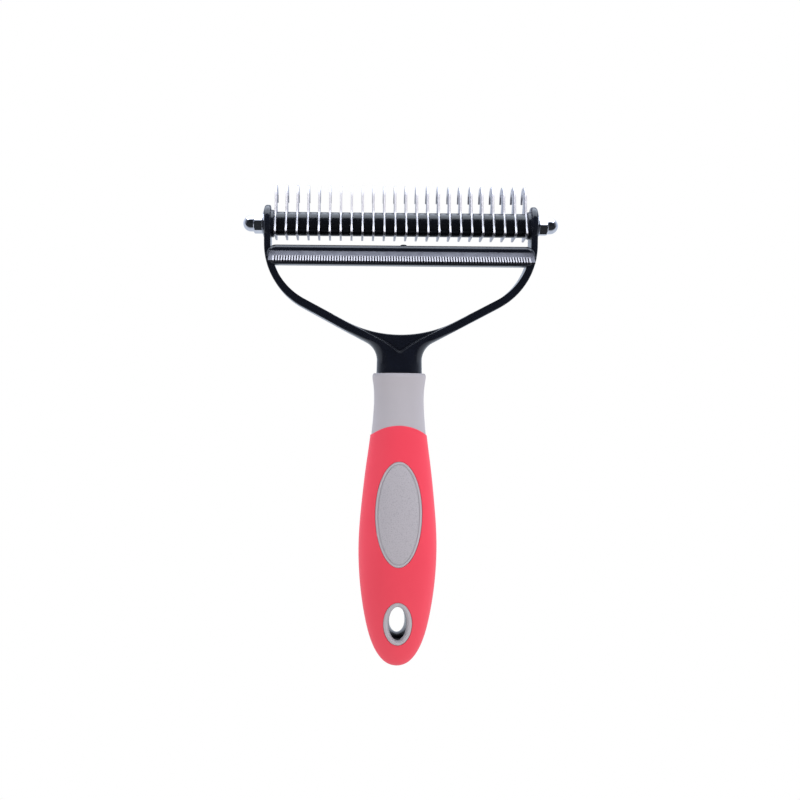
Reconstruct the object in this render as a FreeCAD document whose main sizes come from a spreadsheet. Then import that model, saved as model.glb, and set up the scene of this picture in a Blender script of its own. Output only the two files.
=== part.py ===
import FreeCAD, Part
import math
import os
import Sketcher
from FreeCAD import Placement, Rotation, Vector

# Hand rake for pet coats. A forked black frame carries a row of hooked steel blades on a
# threaded rod, and below it a fine toothed strip held in a bar. The handle is moulded over
# the frame's tang in two layers, a grey sleeve and a red skin.
#
# Frame: +Z up to the rake, +X to the right, -Y towards the side that the toothed strip faces.
# The origin is the middle of the hang hole. Heights named *_drop are measured down from the
# rod's axis. All sizes are in millimetres.

SIZES = {
    # rod, blades and spacers
    "rod_height": 156.5,          # rod axis above the hang hole
    "rod_radius": 2.0,
    "bore_clearance": 0.05,       # round every hole that the rod passes
    "blade_count": 24,
    "blade_thickness": 0.8,
    "spacer_length": 3.5,
    "spacer_radius": 4.7,
    "rake_end_gap": 0.15,         # between the outer blades and the ears' bosses
    # one blade's outline, across (from the rod to the back) and up from the rod
    "nose_reach": 6.2,
    "nose_drop": 4.6,
    "front_bend_across": -1.5,
    "front_bend_up": 4.6,
    "crown_front_across": 0.3,
    "crown_front_up": 16.0,
    "hook_reach": 12.9,
    "hook_tip_up": 10.2,
    "hook_tip_width": 0.5,
    "throat_back_across": 10.9,
    "throat_front_across": 6.0,
    "throat_up": 13.7,
    "stem_back_across": 5.9,
    "stem_back_up": 9.0,
    "shoulder_across": 8.3,
    "shoulder_up": 4.4,
    "waist_across": 6.4,
    "waist_drop": 2.0,
    "tail_reach": 8.6,
    "tail_drop": 5.6,
    "belly_across": 1.0,
    "belly_drop": 5.0,
    "crown_back_across": 11.9,
    "crown_radius": 5.2,
    "throat_radius": 1.9,
    "bend_radius": 3.0,
    "nose_radius": 1.0,
    # ears
    "ear_thickness": 3.4,
    "ear_radius": 7.4,
    "boss_radius": 5.5,
    "boss_length": 1.2,
    "boss_root": 0.2,             # the boss starts this far inside the ear
    "seat_radius": 4.3,
    "seat_depth": 0.4,
    # arms, web and neck
    "arm_lean": 0.4,              # the arms close in by this much down to the shoulder
    "arm_width": 3.2,
    "shoulder_drop": 25.0,
    "shoulder_radius": 28.0,
    "inner_shoulder_drop": 23.0,
    "inner_shoulder_radius": 25.0,
    "valley_drop": 49.8,
    "valley_radius": 47.0,
    "neck_half_width": 8.75,
    "neck_spare": 0.6,            # the arms' outline runs this far outside the rounded neck
    "neck_drop": 49.0,
    "neck_radius": 8.0,
    "arm_half_depth": 5.8,
    "web_recess": 1.4,
    "web_apex_drop": 51.0,
    "web_side_across": 24.0,
    "web_side_drop": 37.2,
    "web_top_gap": 3.0,           # the web's cutting wedge starts this far below the bar
    "web_apex_radius": 1.5,
    # crossbar, its bar and the toothed strip
    "bar_top_drop": 9.1,
    "bar_height": 7.7,
    "bar_half_length": 52.3,
    "bar_front": 8.5,
    "bar_back": 2.5,
    "bar_bevel": 1.2,
    "bar_end_spare": 0.4,         # the bar's ends are this far from full half rounds
    "crossbar_back": 5.2,
    "nub_left": -0.2,
    "nub_width": 2.5,
    "nub_height": 0.7,
    "nub_root": 0.2,
    "nub_inset": 1.0,
    "strip_half_length": 51.4,
    "strip_thickness": 0.6,
    "strip_drop": 11.5,
    "strip_root": 4.0,
    "strip_reach": 6.3,
    "strip_fall": 4.5,
    "strip_edge_bevel": 0.35,
    "tooth_count": 96,
    "tooth_pitch": 1.04,
    "tooth_gap": 0.5,
    "tooth_reach": 3.1,
    # nuts and washers
    "washer_radius": 4.0,
    "washer_thickness": 0.5,
    "washer_hole_radius": 2.15,
    "nut_flats": 7.0,
    "nut_hex_length": 3.3,
    "nut_dome_radius": 3.15,
    "nut_neck_length": 1.1,
    "nut_cone_spread": 4.6,       # the cone that rounds off the hexagon's outer corners
    "nut_cone_bite": 0.1,
    "nut_bore_depth": 5.6,
    "rod_in_nut": 5.2,
    "left_nut_turn": 12.5,
    # handle
    "collar_drop": 58.7,
    "neck_seat": 3.0,
    "grip_flatness": 0.78,        # depth over width of every section
    "skin_step": 0.35,            # the red skin stands proud of the grey collar
    "skin_thickness": 1.6,
    "sleeve_thickness": 1.5,
    "edge_drop": 79.3,
    "edge_radius": 18.4,
    "pad_drop": 113.8,
    "pad_half_width": 9.15,
    "pad_half_height": 20.5,
    "pad_rim": 0.95,
    "pad_groove": 0.45,
    "pad_groove_depth": 0.35,
    "ring_half_width": 5.65,
    "ring_half_height": 8.6,
    "hole_half_width": 3.5,
    "hole_half_height": 6.6,
}

# Half widths of the grip's skin, each at its drop below the rod, down to the rounded tip.
GRIP_STATIONS = {
    "top": (75.0, 10.35),
    "edge": (84.2, 11.3),
    "upper": (94.3, 12.65),
    "palm": (108.5, 14.25),
    "belly": (125.0, 15.42),
    "lower": (141.7, 14.75),
    "hole": (155.0, 12.75),
    "heel": (164.5, 10.15),
    "toe": (170.2, 7.15),
    "end": (173.2, 4.0),
}
TIP_DROP = 174.3

# Half widths of the grey collar, from its rounded lip to where the skin covers it.
COLLAR_STATIONS = {
    "mouth": (58.7, 9.45),
    "lip": (60.3, 10.2),
    "throat": (64.0, 9.78),
    "waist": (69.0, 9.65),
    "base": (77.7, 10.24),
    "hidden": (86.0, 11.15),
}


# The ovals that round the neck, from its seat in the collar up to where they leave the arms:
# how much wider and deeper than the neck each is, and its drop below the start of the neck.
NECK_OVALS = {
    "seat": (0.0, 0.0, 12.7),
    "stem": (0.05, 0.0, 6.0),
    "root": (2.0, 0.1, 2.0),
    "turn": (8.0, 0.6, -2.0),
    "spread": (22.0, 1.8, -7.0),
    "clear": (50.0, 5.0, -13.0),
}


def fill_sheet(sheet):
    """One row per size: its name, its value, and the alias that the model uses."""
    values = dict(SIZES, tip_drop=TIP_DROP)
    for part, stations in (("grip", GRIP_STATIONS), ("collar", COLLAR_STATIONS)):
        for name, (drop, half_width) in stations.items():
            values[f"{part}_{name}_drop"] = drop
            values[f"{part}_{name}_half"] = half_width
    for name, (wider, deeper, drop) in NECK_OVALS.items():
        values[f"oval_{name}_wider"] = wider
        values[f"oval_{name}_deeper"] = deeper
        values[f"oval_{name}_drop"] = drop
    for row, (name, value) in enumerate(values.items(), start=1):
        sheet.set(f"A{row}", name)
        sheet.set(f"B{row}", str(value))
        sheet.setAlias(f"B{row}", name)


doc = FreeCAD.newDocument("pet_rake")
dims = doc.addObject("Spreadsheet::Sheet", "dims")
fill_sheet(dims)
doc.recompute()

# Combinations of sizes that several pieces share.
PITCH = "(dims.blade_thickness + dims.spacer_length)"
STACK_HALF = f"(({PITCH} * (dims.blade_count - 1) + dims.blade_thickness) / 2)"
BOSS_FACE = f"({STACK_HALF} + dims.rake_end_gap)"
EAR_INNER = f"({BOSS_FACE} + dims.boss_length)"
EAR_OUTER = f"({EAR_INNER} + dims.ear_thickness)"
SEAT_FACE = f"({EAR_OUTER} - dims.seat_depth)"
NUT_FACE = f"({SEAT_FACE} + dims.washer_thickness)"
ROD_END = f"({NUT_FACE} + dims.rod_in_nut)"
BORE_RADIUS = "(dims.rod_radius + dims.bore_clearance)"
BAR_BOTTOM = "(dims.bar_top_drop + dims.bar_height)"
PAST = 1                          # how far cutting tools run past what they cut
WELL_PAST = 40                    # and where nothing else is near

ALONG_X = Rotation(Vector(0, 1, 0), 90)
ALONG_Y = Rotation(Vector(1, 0, 0), -90)


def value(expression):
    """The number that an expression of sheet cells stands for now."""
    found = dims.evalExpression(expression)
    return float(getattr(found, "Value", found))


def bind(thing, **expressions):
    for name, expression in expressions.items():
        thing.setExpression(name, str(expression))
    return thing


def place(thing, x="0", y="0", z="0", rotation=None):
    """Places a thing at a point in the row's frame."""
    if rotation:
        thing.Placement = Placement(Vector(0, 0, 0), rotation)
    for axis, expression in zip("xyz", (x, y, z)):
        thing.setExpression(f"Placement.Base.{axis}", str(expression))
    return thing


def from_rod(drop):
    """The height of something that is this far below the rod's axis."""
    return f"dims.rod_height - ({drop})"


def cylinder(label, radius, length, x="0", y="0", z="0", rotation=None):
    thing = bind(doc.addObject("Part::Cylinder", label), Radius=radius, Height=length)
    return place(thing, x, y, z, rotation)


def box(label, size, corner):
    thing = doc.addObject("Part::Box", label)
    bind(thing, Length=size[0], Width=size[1], Height=size[2])
    return place(thing, *corner)


def cut(label, base, tool):
    thing = doc.addObject("Part::Cut", label)
    thing.Base = base
    thing.Tool = tool
    return thing


def fuse(label, *pieces):
    thing = doc.addObject("Part::MultiFuse", label)
    thing.Shapes = list(pieces)
    return thing


def common(label, *pieces):
    thing = doc.addObject("Part::MultiCommon", label)
    thing.Shapes = list(pieces)
    return thing


def new_body(label):
    return doc.addObject("PartDesign::Body", label)


def origin_plane(body, role):
    return next(f for f in body.Origin.OriginFeatures if f.Role == role)


def new_sketch(body, role, name):
    sketch = body.newObject("Sketcher::SketchObject", f"{body.Name}_{name}")
    sketch.AttachmentSupport = [(origin_plane(body, role), "")]
    sketch.MapMode = "FlatFace"
    return sketch


def draw_polygon(sketch, corners):
    """A closed polygon whose corners are pairs of expressions, each held by two distances."""
    points = [Vector(value(u), value(v), 0) for u, v in corners]
    first = sketch.GeometryCount
    for start, end in zip(points, points[1:] + points[:1]):
        sketch.addGeometry(Part.LineSegment(start, end), False)
    for i, (u, v) in enumerate(corners):
        before = first + (i - 1) % len(corners)
        sketch.addConstraint(Sketcher.Constraint("Coincident", before, 2, first + i, 1))
        for kind, number, expression in (("DistanceX", points[i].x, u), ("DistanceY", points[i].y, v)):
            index = sketch.addConstraint(Sketcher.Constraint(kind, -1, 1, first + i, 1, number))
            sketch.setExpression(f"Constraints[{index}]", str(expression))


def pad(body, sketch, length, name="pad"):
    """Pads a sketch evenly to both sides of its plane."""
    thing = body.newObject("PartDesign::Pad", f"{body.Name}_{name}")
    thing.Profile = sketch
    thing.Midplane = True
    thing.setExpression("Length", str(length))
    body.Tip = thing
    doc.recompute()
    return thing


def round_corners(body, corners, flat, radius, name):
    """Fillets the edges that stand on these corners. flat gives a vertex's place in the sketch."""
    base = body.Tip
    wanted = [(value(u), value(v)) for u, v in corners]
    names = []
    for i, edge in enumerate(base.Shape.Edges, start=1):
        ends = [flat(v.Point) for v in edge.Vertexes]
        if len(ends) < 2 or math.dist(ends[0], ends[1]) > 1e-4:
            continue
        if any(math.dist(ends[0], spot) < 1e-3 for spot in wanted):
            names.append(f"Edge{i}")
    assert len(names) == len(wanted), (body.Label, name, len(names), len(wanted))
    thing = body.newObject("PartDesign::Fillet", f"{body.Name}_{name}")
    thing.Base = (base, names)
    thing.setExpression("Radius", str(radius))
    body.Tip = thing
    doc.recompute()


def seen_from_front(point):
    return point.x, point.z


def seen_from_side(point):
    return point.y, point.z


def oval_section(label, half_width, half_depth, drop):
    thing = doc.addObject("Part::Ellipse", label)
    thing.MajorRadius = value(half_width)
    thing.MinorRadius = value(half_depth)
    bind(thing, MajorRadius=half_width, MinorRadius=half_depth)
    return place(thing, z=from_rod(drop))


def loft(label, sections):
    thing = doc.addObject("Part::Loft", label)
    thing.Sections = sections
    thing.Solid = True
    thing.MaxDegree = 3
    return thing


def round_form(label, stations, inset="0", tip=None):
    """Half of the outline is a smooth curve through the stations, turned about Z. tip closes it
    with a rounded end."""
    points = [Vector(value(f"dims.{name}_half - ({inset})"), 0, -value(f"dims.{name}_drop"))
              for name in stations]
    ends = {}
    if tip:
        points.append(Vector(0, 0, -value(tip)))
        ends = {"InitialTangent": points[1] - points[0], "FinalTangent": Vector(-1, 0, 0)}
    curve = Part.BSplineCurve()
    curve.interpolate(Points=points, **ends)
    top, bottom = Vector(0, 0, points[0].z), Vector(0, 0, points[-1].z)
    edges = [curve.toShape(), Part.makeLine(top, points[0])]
    if not tip:
        edges.append(Part.makeLine(points[-1], bottom))
    edges.append(Part.makeLine(bottom, top))
    half = Part.Face(Part.Wire(Part.__sortEdges__(edges)))
    thing = doc.addObject("Part::Feature", label)
    thing.Shape = half.revolve(Vector(0, 0, 0), Vector(0, 0, 1), 360)
    return place(thing, z="dims.rod_height")


def flatten(label, form):
    """The handle's pieces are cut while they are round, and flattened from front to back last."""
    thing = doc.addObject("Part::Scale", label)
    thing.Base = form
    thing.Uniform = False
    thing.setExpression("YScale", "dims.grip_flatness")
    return thing


def oval_prism(label, half_width, half_height, drop):
    """An oval bar along Y, right through the handle."""
    edge = doc.addObject("Part::Ellipse", f"{label}_edge")
    edge.MajorRadius = value(half_height)
    edge.MinorRadius = value(half_width)
    bind(edge, MajorRadius=half_height, MinorRadius=half_width)
    upright = Rotation(Vector(0, 0, 1), Vector(0, 1, 0)) * Rotation(Vector(0, 0, 1), 90)
    place(edge, y=-WELL_PAST, z=from_rod(drop), rotation=upright)
    bar = doc.addObject("Part::Extrusion", label)
    bar.Base = edge
    bar.DirMode = "Custom"
    bar.Dir = Vector(0, 1, 0)
    bar.LengthFwd = 2 * WELL_PAST
    bar.Solid = True
    return bar


# ---- rake: rod, blades and spacers ------------------------------------------------------

def make_rod():
    return cylinder("rake_rod", "dims.rod_radius", f"2 * {ROD_END}", x=f"-{ROD_END}",
                    z="dims.rod_height", rotation=ALONG_X)


def make_spacer(label, x):
    """A moulded ring that keeps two blades apart."""
    outer = cylinder(f"{label}_outer", "dims.spacer_radius", "dims.spacer_length",
                     x, z="dims.rod_height", rotation=ALONG_X)
    bore = cylinder(f"{label}_bore", BORE_RADIUS, "dims.spacer_length",
                    x, z="dims.rod_height", rotation=ALONG_X)
    return cut(label, outer, bore)


BLADE_CORNERS = {
    "nose": ("-dims.nose_reach", "-dims.nose_drop"),
    "front_bend": ("dims.front_bend_across", "dims.front_bend_up"),
    "crown_front": ("dims.crown_front_across", "dims.crown_front_up"),
    "crown_back": ("dims.crown_back_across", "dims.crown_front_up"),
    "hook_tip": ("dims.hook_reach", "dims.hook_tip_up"),
    "hook_tip_inside": ("dims.hook_reach - dims.hook_tip_width", "dims.hook_tip_up"),
    "throat_back": ("dims.throat_back_across", "dims.throat_up"),
    "throat_front": ("dims.throat_front_across", "dims.throat_up"),
    "stem_back": ("dims.stem_back_across", "dims.stem_back_up"),
    "shoulder": ("dims.shoulder_across", "dims.shoulder_up"),
    "waist": ("dims.waist_across", "-dims.waist_drop"),
    "tail": ("dims.tail_reach", "-dims.tail_drop"),
    "belly": ("dims.belly_across", "-dims.belly_drop"),
}
BLADE_ROUNDS = {
    "crown": ("crown_front", "crown_back"),
    "throat": ("throat_back", "throat_front"),
    "bend": ("front_bend", "stem_back", "waist", "belly"),
    "nose": ("nose",),
}


def make_blade(label, x):
    """A hooked blade stamped from sheet: its hook points back and down, its tail back."""
    body = new_body(label)
    sketch = new_sketch(body, "YZ_Plane", "outline")
    draw_polygon(sketch, list(BLADE_CORNERS.values()))
    index = sketch.addGeometry(Part.Circle(Vector(0, 0, 0), Vector(0, 0, 1), value(BORE_RADIUS)), False)
    sketch.addConstraint(Sketcher.Constraint("Coincident", index, 3, -1, 1))
    radius = sketch.addConstraint(Sketcher.Constraint("Radius", index, value(BORE_RADIUS)))
    sketch.setExpression(f"Constraints[{radius}]", BORE_RADIUS)
    pad(body, sketch, "dims.blade_thickness")
    for name, corners in BLADE_ROUNDS.items():
        round_corners(body, [BLADE_CORNERS[c] for c in corners], seen_from_side,
                      f"dims.{name}_radius", name)
    return place(body, x=x, z="dims.rod_height")


def make_rake():
    nodes = [make_rod()]
    count = int(value("dims.blade_count"))
    for i in range(count):
        middle = f"({i} - (dims.blade_count - 1) / 2) * {PITCH}"
        nodes.append(make_blade(f"rake_blade_{i + 1:02d}", middle))
        if i < count - 1:
            nodes.append(make_spacer(f"spacer_{i + 1:02d}", f"{middle} + dims.blade_thickness / 2"))
    return nodes


# ---- fork frame -------------------------------------------------------------------------

def fork_outline():
    """The fork seen from the front: two ears, two arms and the neck, with rounded turns."""
    shoulder = f"({EAR_OUTER} - dims.arm_lean)"
    inner = f"({shoulder} - dims.arm_width)"
    corners = {
        "shoulder": (shoulder, "-dims.shoulder_drop"),
        "neck": ("(dims.neck_half_width + dims.neck_spare)", "-dims.neck_drop"),
        "foot": ("(dims.neck_half_width + dims.neck_spare)", "-(dims.collar_drop + 2 * dims.neck_seat)"),
        "ear_out": (EAR_OUTER, "dims.ear_radius"),
        "ear_in": (EAR_INNER, "dims.ear_radius"),
        "inner": (inner, "-dims.inner_shoulder_drop"),
    }
    flip = {name: (f"-{u}", v) for name, (u, v) in corners.items()}
    valley = ("0", "-dims.valley_drop")
    order = ["ear_in", "ear_out", "shoulder", "neck", "foot"]
    outline = [corners[n] for n in order] + [flip[n] for n in reversed(order)]
    outline += [flip["inner"], valley, corners["inner"]]
    body = new_body("fork_outline")
    sketch = new_sketch(body, "XZ_Plane", "outline")
    draw_polygon(sketch, outline)
    pad(body, sketch, 2 * WELL_PAST)
    pairs = {
        "shoulders": ("shoulder", "dims.shoulder_radius"),
        "inner_shoulders": ("inner", "dims.inner_shoulder_radius"),
        "neck_turns": ("neck", "dims.neck_radius"),
    }
    for name, (corner, radius) in pairs.items():
        round_corners(body, [corners[corner], flip[corner]], seen_from_front, radius, name)
    round_corners(body, [valley], seen_from_front, "dims.valley_radius", "valley")
    return place(body, z="dims.rod_height")


def fork_side():
    """The fork seen from the side: round ears, arms of one depth, and a neck a little deeper."""
    low = "-(dims.collar_drop + 2 * dims.neck_seat)"
    half = [
        ("dims.ear_radius", "0"),
        ("dims.arm_half_depth", "-dims.bar_top_drop"),
        ("dims.arm_half_depth", "-dims.neck_drop"),
        ("(dims.neck_half_width * dims.grip_flatness + dims.neck_spare)", low),
    ]
    corners = half + [(f"-{u}", v) for u, v in reversed(half)]
    body = new_body("fork_side")
    sketch = new_sketch(body, "YZ_Plane", "outline")
    draw_polygon(sketch, corners)
    pad(body, sketch, 4 * WELL_PAST)
    place(body, z="dims.rod_height")
    ears = cylinder("ear_rounds", "dims.ear_radius", 4 * WELL_PAST, x=-2 * WELL_PAST,
                    z="dims.rod_height", rotation=ALONG_X)
    return fuse("fork_side_outline", body, ears)


def neck_envelope():
    """Rounds the neck: ovals that open out quickly above it, so that they leave the arms."""
    deep = "dims.neck_half_width * dims.grip_flatness"
    sections = [oval_section(f"neck_oval_{name}",
                             f"dims.neck_half_width + dims.oval_{name}_wider",
                             f"{deep} + dims.oval_{name}_deeper",
                             f"dims.neck_drop + dims.oval_{name}_drop") for name in NECK_OVALS]
    lower = loft("neck_rounding", sections)
    above = box("above_neck", (4 * WELL_PAST, 2 * WELL_PAST, 2 * WELL_PAST),
                (-2 * WELL_PAST, -WELL_PAST, from_rod("dims.neck_drop + dims.oval_clear_drop")))
    return fuse("neck_envelope", lower, above)


def web_cutter(label, y):
    """A wedge that sinks the triangle between the arms below the arms' own faces."""
    corners = [
        ("0", "-dims.web_apex_drop"),
        ("dims.web_side_across", "-dims.web_side_drop"),
        ("dims.web_side_across", f"-{BAR_BOTTOM} - dims.web_top_gap"),
        ("-dims.web_side_across", f"-{BAR_BOTTOM} - dims.web_top_gap"),
        ("-dims.web_side_across", "-dims.web_side_drop"),
    ]
    body = new_body(label)
    sketch = new_sketch(body, "XZ_Plane", "outline")
    draw_polygon(sketch, corners)
    pad(body, sketch, 2 * WELL_PAST)
    round_corners(body, corners[:1], seen_from_front, "dims.web_apex_radius", "apex")
    return place(body, y=y, z="dims.rod_height")


def make_tang():
    """The frame's core inside the handle, down to the heel."""
    inset = "dims.skin_thickness + dims.sleeve_thickness"
    stations = ["collar_lip", "collar_waist", "collar_base", "grip_upper", "grip_palm",
                "grip_belly", "grip_lower", "grip_hole", "grip_heel"]
    return round_form("tang", stations, inset)


def make_fork(tang, bar_space, hang_hole):
    plate = common("fork_plate", fork_outline(), fork_side(), neck_envelope())
    bosses, bores = [], []
    for side, sign in (("left", -1), ("right", 1)):
        boss = f"-{EAR_INNER} - dims.boss_root" if sign < 0 else BOSS_FACE
        bosses.append(cylinder(f"ear_boss_{side}", "dims.boss_radius", "dims.boss_length + dims.boss_root",
                               x=boss, z="dims.rod_height", rotation=ALONG_X))
        seat = f"-{SEAT_FACE} - {WELL_PAST}" if sign < 0 else SEAT_FACE
        bores.append(cylinder(f"washer_seat_{side}", "dims.seat_radius", WELL_PAST, x=seat,
                              z="dims.rod_height", rotation=ALONG_X))
    bores.append(cylinder("rod_bore", BORE_RADIUS, 4 * WELL_PAST, x=-2 * WELL_PAST,
                          z="dims.rod_height", rotation=ALONG_X))
    crossbar = box("crossbar", (f"2 * {EAR_INNER}", "dims.bar_back + dims.crossbar_back", "dims.bar_height"),
                   (f"-{EAR_INNER}", "-dims.bar_back", from_rod(BAR_BOTTOM)))
    recess = f"(dims.arm_half_depth - dims.web_recess + {WELL_PAST})"
    webs = [web_cutter("web_front", f"-{recess}"), web_cutter("web_back", recess)]
    flat_tang = place(flatten("flat_tang", tang), z="dims.rod_height")
    solid = fuse("fork_solid", plate, crossbar, *bosses, flat_tang)
    return cut("fork_frame", solid, fuse("fork_cuts", bar_space, hang_hole, *bores, *webs))


# ---- bar and toothed strip --------------------------------------------------------------

def bar_block(label):
    """The bar's outer block, rounded at both ends. The fork has a seat of the same shape."""
    across, drop = "dims.bar_half_length", "dims.bar_top_drop"
    corners = [
        (across, f"-{drop}"),
        (across, f"-{BAR_BOTTOM}"),
        (f"-{across}", f"-{BAR_BOTTOM}"),
        (f"-{across}", f"-{drop}"),
    ]
    body = new_body(label)
    sketch = new_sketch(body, "XZ_Plane", "outline")
    draw_polygon(sketch, corners)
    pad(body, sketch, "dims.bar_front - dims.bar_back")
    round_corners(body, corners, seen_from_front, "dims.bar_height / 2 - dims.bar_end_spare", "ends")
    return place(body, y="-(dims.bar_front + dims.bar_back) / 2", z="dims.rod_height")


def strip_corners():
    """The bent strip from the side: a flat root in the bar, then a slope forward and down."""
    top, under = "dims.strip_drop", "(dims.strip_drop + dims.strip_thickness)"
    mouth = "dims.bar_front"
    return [
        (f"-({mouth} - dims.strip_root)", f"-{top}"),
        (f"-{mouth}", f"-{top}"),
        (f"-({mouth} + dims.strip_reach)", f"-({top} + dims.strip_fall)"),
        (f"-({mouth} + dims.strip_reach - dims.strip_edge_bevel)", f"-({under} + dims.strip_fall)"),
        (f"-{mouth}", f"-{under}"),
        (f"-({mouth} - dims.strip_root)", f"-{under}"),
    ]


def make_strip():
    body = new_body("deshedding_strip")
    sketch = new_sketch(body, "YZ_Plane", "section")
    draw_polygon(sketch, strip_corners())
    pad(body, sketch, "2 * dims.strip_half_length")
    full = body.Tip.Shape.Volume
    first = "(dims.tooth_count / 2 - 1) * dims.tooth_pitch"
    edge = "(dims.bar_front + dims.strip_reach)"
    gap = new_sketch(body, "XY_Plane", "gap")
    left, right = f"-{first} - dims.tooth_gap / 2", f"-{first} + dims.tooth_gap / 2"
    draw_polygon(gap, [
        (left, f"-{edge} - {PAST}"),
        (right, f"-{edge} - {PAST}"),
        (right, f"-{edge} + dims.tooth_reach"),
        (left, f"-{edge} + dims.tooth_reach"),
    ])
    pocket = body.newObject("PartDesign::Pocket", "tooth_gap_cut")
    pocket.Profile = gap
    pocket.Midplane = True
    pocket.Length = 4 * WELL_PAST
    body.Tip = pocket
    doc.recompute()
    assert pocket.Shape.Volume < full
    row = body.newObject("PartDesign::LinearPattern", "tooth_gaps")
    row.Originals = [pocket]
    row.Direction = (gap, ["H_Axis"])
    row.setExpression("Length", "(dims.tooth_count - 2) * dims.tooth_pitch")
    row.setExpression("Occurrences", "dims.tooth_count - 1")
    body.Tip = row
    doc.recompute()
    return place(body, z="dims.rod_height")


def make_bar():
    block = bar_block("bar_block")
    front, top = "-dims.bar_front", "-dims.bar_top_drop"
    bevel_corners = [
        (f"{front} - {PAST}", f"{top} - dims.bar_bevel - {PAST}"),
        (f"{front} - {PAST}", f"{top} + {PAST}"),
        (f"{front} + dims.bar_bevel + {PAST}", f"{top} + {PAST}"),
    ]
    bevel = new_body("bar_bevel_tool")
    sketch = new_sketch(bevel, "YZ_Plane", "section")
    draw_polygon(sketch, bevel_corners)
    pad(bevel, sketch, 4 * WELL_PAST)
    place(bevel, z="dims.rod_height")
    opening = ("2 * dims.strip_half_length", f"dims.strip_root + {PAST}", "dims.strip_thickness")
    slot = box("strip_slot", opening,
               ("-dims.strip_half_length", f"-(dims.bar_front + {PAST})",
                from_rod("dims.strip_drop + dims.strip_thickness")))
    nub = box("bar_nub", ("dims.nub_width", "dims.nub_width", "dims.nub_height + dims.nub_root"),
              ("dims.nub_left", "-dims.bar_back - dims.nub_width - dims.nub_inset",
               from_rod("dims.bar_top_drop + dims.nub_root")))
    tools = fuse("bar_cuts", bevel, slot)
    return cut("blade_bar", fuse("bar_solid", block, nub), tools)


# ---- nuts and washers -------------------------------------------------------------------

def make_washer(side):
    x = SEAT_FACE if side == "right" else f"-{NUT_FACE}"
    outer = cylinder(f"washer_{side}_outer", "dims.washer_radius", "dims.washer_thickness",
                     x, z="dims.rod_height", rotation=ALONG_X)
    hole = cylinder(f"washer_{side}_hole", "dims.washer_hole_radius", "dims.washer_thickness",
                    x, z="dims.rod_height", rotation=ALONG_X)
    return cut(f"washer_{side}", outer, hole)


def make_nut(side):
    """A domed cap nut: hexagon, short round neck, half ball, and a blind hole for the rod."""
    outwards = ALONG_X if side == "right" else Rotation(Vector(0, 1, 0), -90)
    turn = 0 if side == "right" else value("dims.left_nut_turn")
    sign = "" if side == "right" else "-"
    reach = "(dims.nut_hex_length + dims.nut_neck_length)"
    label = f"cap_nut_{side}"
    hexagon = doc.addObject("Part::Prism", f"{label}_hexagon")
    bind(hexagon, Circumradius="dims.nut_flats / 2 / cos(30 deg)", Height="dims.nut_hex_length")
    place(hexagon, x=f"{sign}{NUT_FACE}", z="dims.rod_height",
          rotation=outwards * Rotation(Vector(0, 0, 1), turn))
    spin = dict(z="dims.rod_height", rotation=outwards)
    round_off = doc.addObject("Part::Cone", f"{label}_corners")
    bind(round_off, Radius1="dims.nut_flats / 2 + dims.nut_cone_spread",
         Radius2="dims.nut_flats / 2 - dims.nut_cone_bite",
         Height="dims.nut_hex_length")
    place(round_off, x=f"{sign}{NUT_FACE}", **spin)
    neck = cylinder(f"{label}_neck", "dims.nut_dome_radius", reach, x=f"{sign}{NUT_FACE}", **spin)
    ball = bind(doc.addObject("Part::Sphere", f"{label}_ball"), Radius="dims.nut_dome_radius")
    place(ball, x=f"{sign}({NUT_FACE} + {reach})", z="dims.rod_height")
    bore = cylinder(f"{label}_bore", BORE_RADIUS, "dims.nut_bore_depth", x=f"{sign}{NUT_FACE}", **spin)
    outside = box(f"{label}_inboard", (WELL_PAST, WELL_PAST, WELL_PAST),
                  (f"{NUT_FACE} - {WELL_PAST}" if side == "right" else f"-{NUT_FACE}",
                   -WELL_PAST / 2, f"dims.rod_height - {WELL_PAST / 2}"))
    solid = fuse(f"{label}_solid", common(f"{label}_hex", hexagon, round_off), neck, ball)
    return cut(label, solid, fuse(f"{label}_cuts", bore, outside))


# ---- handle -----------------------------------------------------------------------------

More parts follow.
